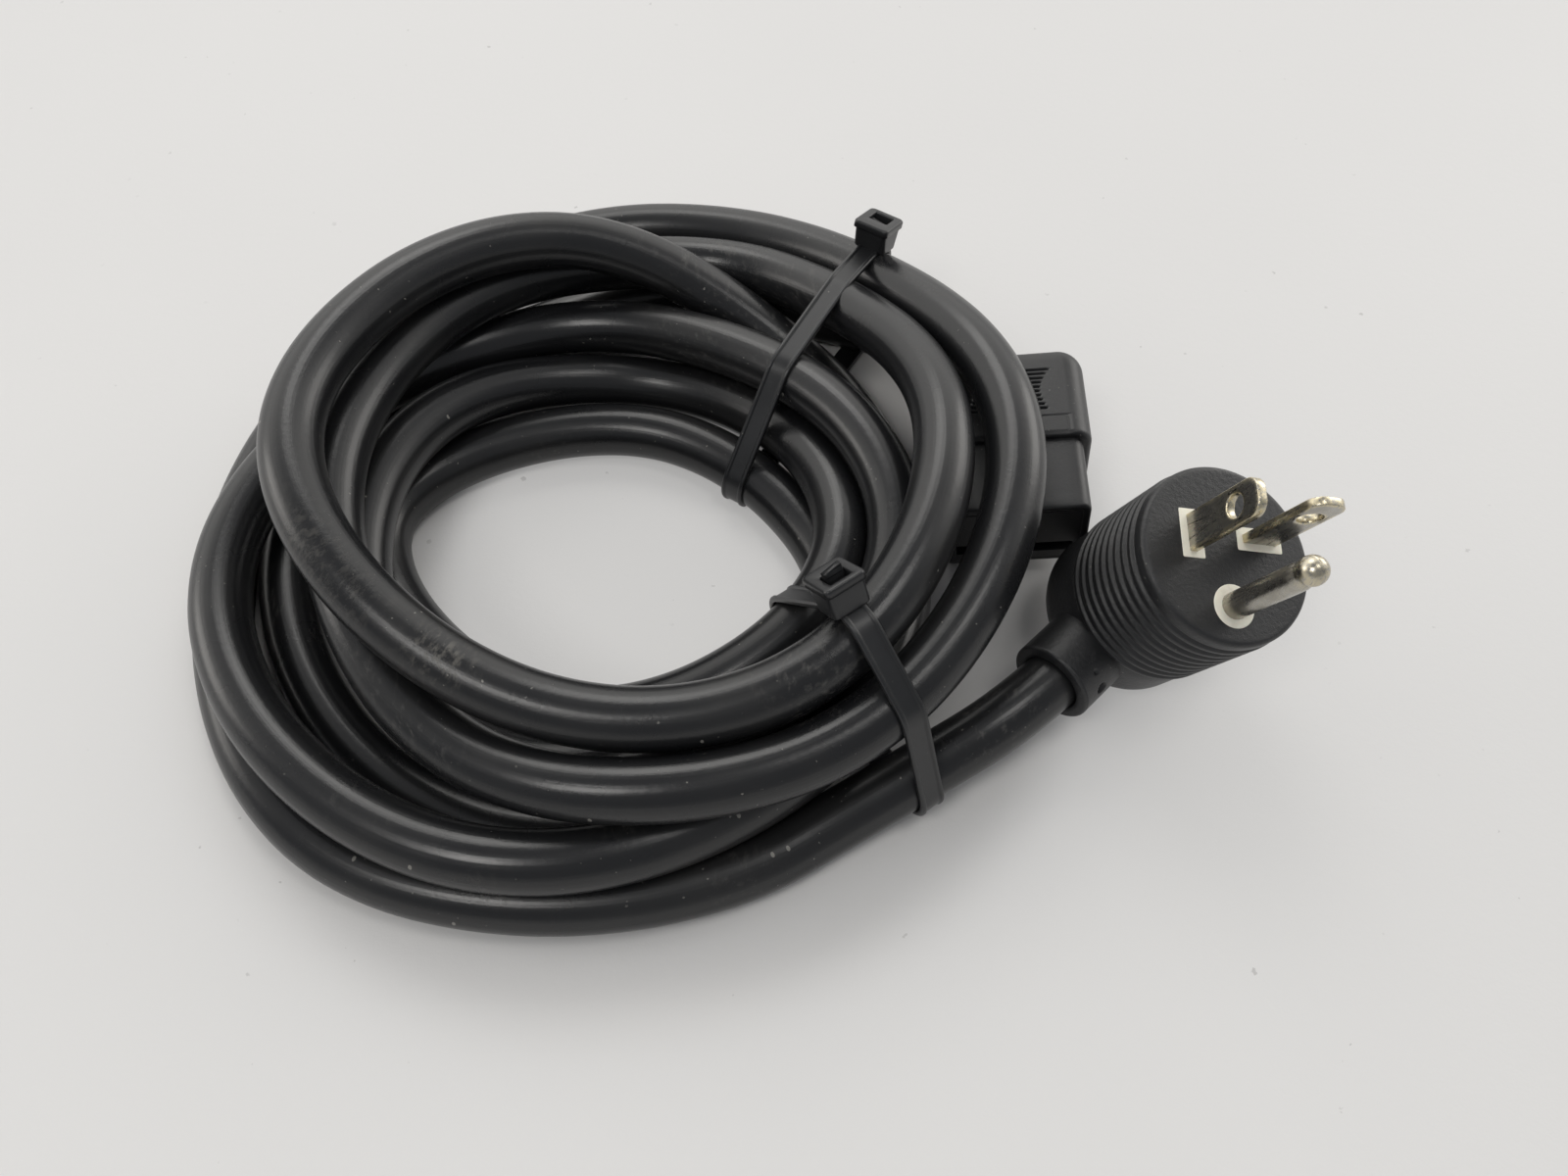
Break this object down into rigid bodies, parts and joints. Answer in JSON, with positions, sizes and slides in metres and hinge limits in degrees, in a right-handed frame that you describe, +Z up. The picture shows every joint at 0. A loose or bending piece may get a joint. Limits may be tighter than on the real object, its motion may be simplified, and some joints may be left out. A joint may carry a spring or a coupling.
{
  "type": "mains power cord",
  "caption": "Heavy black mains power cord in a loose tied coil, with a round right-angle grounded plug and a rectangular appliance connector.",
  "frame": {"origin": "on the surface the cord lies on, under the middle of its bounding box", "axes": "+Z up, +X towards the plug, +Y away from the viewer of the picture"},
  "size_m": [0.2018, 0.1692, 0.0579],
  "materials": {
    "jacket": "matt, soft sheen",
    "overmould": "satin",
    "insert": "matt cream",
    "block": "matt black",
    "plated_brass": "worn nickel plate",
    "contact_brass": "bright",
    "line_core": "black",
    "neutral_core": "white",
    "ground_core": "green",
    "nylon": "semi-gloss black"
  },
  "bodies": {
    "cord": {"cord_coil": "jacket", "plug_lead": "jacket", "connector_lead": "jacket", "plug_body": "overmould", "connector_body": "overmould", "plug_bridge": "insert", "connector_core": "block", "line_blade": "plated_brass", "neutral_blade": "plated_brass", "ground_pin": "plated_brass", "line_contact": "contact_brass", "neutral_contact": "contact_brass", "ground_contact": "contact_brass", "plug_line_wire": "line_core", "connector_line_wire": "line_core", "plug_neutral_wire": "neutral_core", "connector_neutral_wire": "neutral_core", "plug_ground_wire": "ground_core", "connector_ground_wire": "ground_core", "rear_tie": "nylon", "front_tie": "nylon"},
    "rear_pawl_body": {"rear_pawl": "nylon"},
    "front_pawl_body": {"front_pawl": "nylon"}
  },
  "joints": [
    {"name": "rear_pawl_hinge", "type": "hinge", "parent": "cord", "child": "rear_pawl_body", "pos_m": [0.03347, 0.05496, 0.02696], "axis": [-0.8526, 0.5225, 0], "range_deg": [0, 12], "stiffness_Nm_per_rad": 0.0005},
    {"name": "front_pawl_hinge", "type": "hinge", "parent": "cord", "child": "front_pawl_body", "pos_m": [0.02396, -0.0385, 0.03994], "axis": [0.8192, 0.5736, 0], "range_deg": [0, 12], "stiffness_Nm_per_rad": 0.0005}
  ]
}
